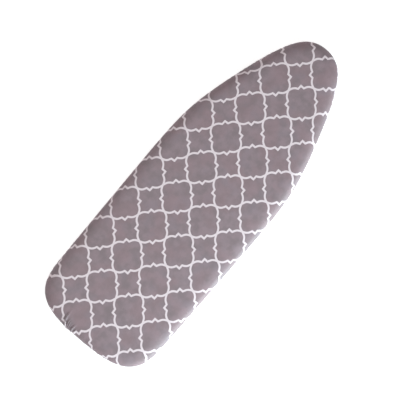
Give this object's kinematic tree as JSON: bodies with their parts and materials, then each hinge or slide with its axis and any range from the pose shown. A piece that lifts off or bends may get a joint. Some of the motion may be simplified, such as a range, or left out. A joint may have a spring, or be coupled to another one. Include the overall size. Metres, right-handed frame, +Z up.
{
  "type": "ironing board cover",
  "caption": "Padded ironing board cover with a trellis-print face, foam and felt layers, an elastic hem and hook-and-loop straps underneath.",
  "frame": {"origin": "under the middle of the cover's length and width, on the plane that its turned-under edge rests on", "axes": "+X along the cover from the square tail to the tapered nose, +Y across it towards the side the straps are sewn to, +Z up out of the ironing face"},
  "size_m": [1.25, 0.453, 0.038],
  "materials": {
    "face_cloth": "matte",
    "foam": "matte",
    "felt": "matte",
    "binding": "matte",
    "elastic": "matte",
    "strap_webbing": "matte",
    "hook_tape": "satin",
    "loop_tape": "matte"
  },
  "bodies": {
    "cover": {"face_cloth": "face_cloth", "foam_sheet": "foam", "felt_pad": "felt", "hem_binding": "binding", "hem_elastic": "elastic", "tail_strap_sewn_end": "strap_webbing", "tail_loop_tape": "loop_tape", "middle_strap_sewn_end": "strap_webbing", "middle_loop_tape": "loop_tape", "nose_strap_sewn_end": "strap_webbing", "nose_loop_tape": "loop_tape"},
    "strap_tail": {"tail_strap": "strap_webbing"},
    "tab_tail": {"tail_hook_tape": "hook_tape"},
    "strap_middle": {"middle_strap": "strap_webbing"},
    "tab_middle": {"middle_hook_tape": "hook_tape"},
    "strap_nose": {"nose_strap": "strap_webbing"},
    "tab_nose": {"nose_hook_tape": "hook_tape"}
  },
  "joints": [
    {"name": "tail_strap_swing", "type": "hinge", "parent": "cover", "child": "strap_tail", "pos_m": [-0.4, 0.13037, 0.01436], "axis": [1, 0, 0], "range_deg": [0, 150]},
    {"name": "tail_tab_peel", "type": "hinge", "parent": "strap_tail", "child": "tab_tail", "pos_m": [-0.4, -0.14961, 0.00887], "axis": [1, 0, 0], "range_deg": [0, 150]},
    {"name": "middle_strap_swing", "type": "hinge", "parent": "cover", "child": "strap_middle", "pos_m": [-0.06, 0.13298, 0.01443], "axis": [1, 0, 0], "range_deg": [0, 150]},
    {"name": "middle_tab_peel", "type": "hinge", "parent": "strap_middle", "child": "tab_middle", "pos_m": [-0.06, -0.15278, 0.00888], "axis": [1, 0, 0], "range_deg": [0, 150]},
    {"name": "nose_strap_swing", "type": "hinge", "parent": "cover", "child": "strap_nose", "pos_m": [0.27, 0.10718, 0.01364], "axis": [1, 0, 0], "range_deg": [0, 150]},
    {"name": "nose_tab_peel", "type": "hinge", "parent": "strap_nose", "child": "tab_nose", "pos_m": [0.27, -0.12746, 0.00806], "axis": [1, 0, 0], "range_deg": [0, 150]}
  ]
}
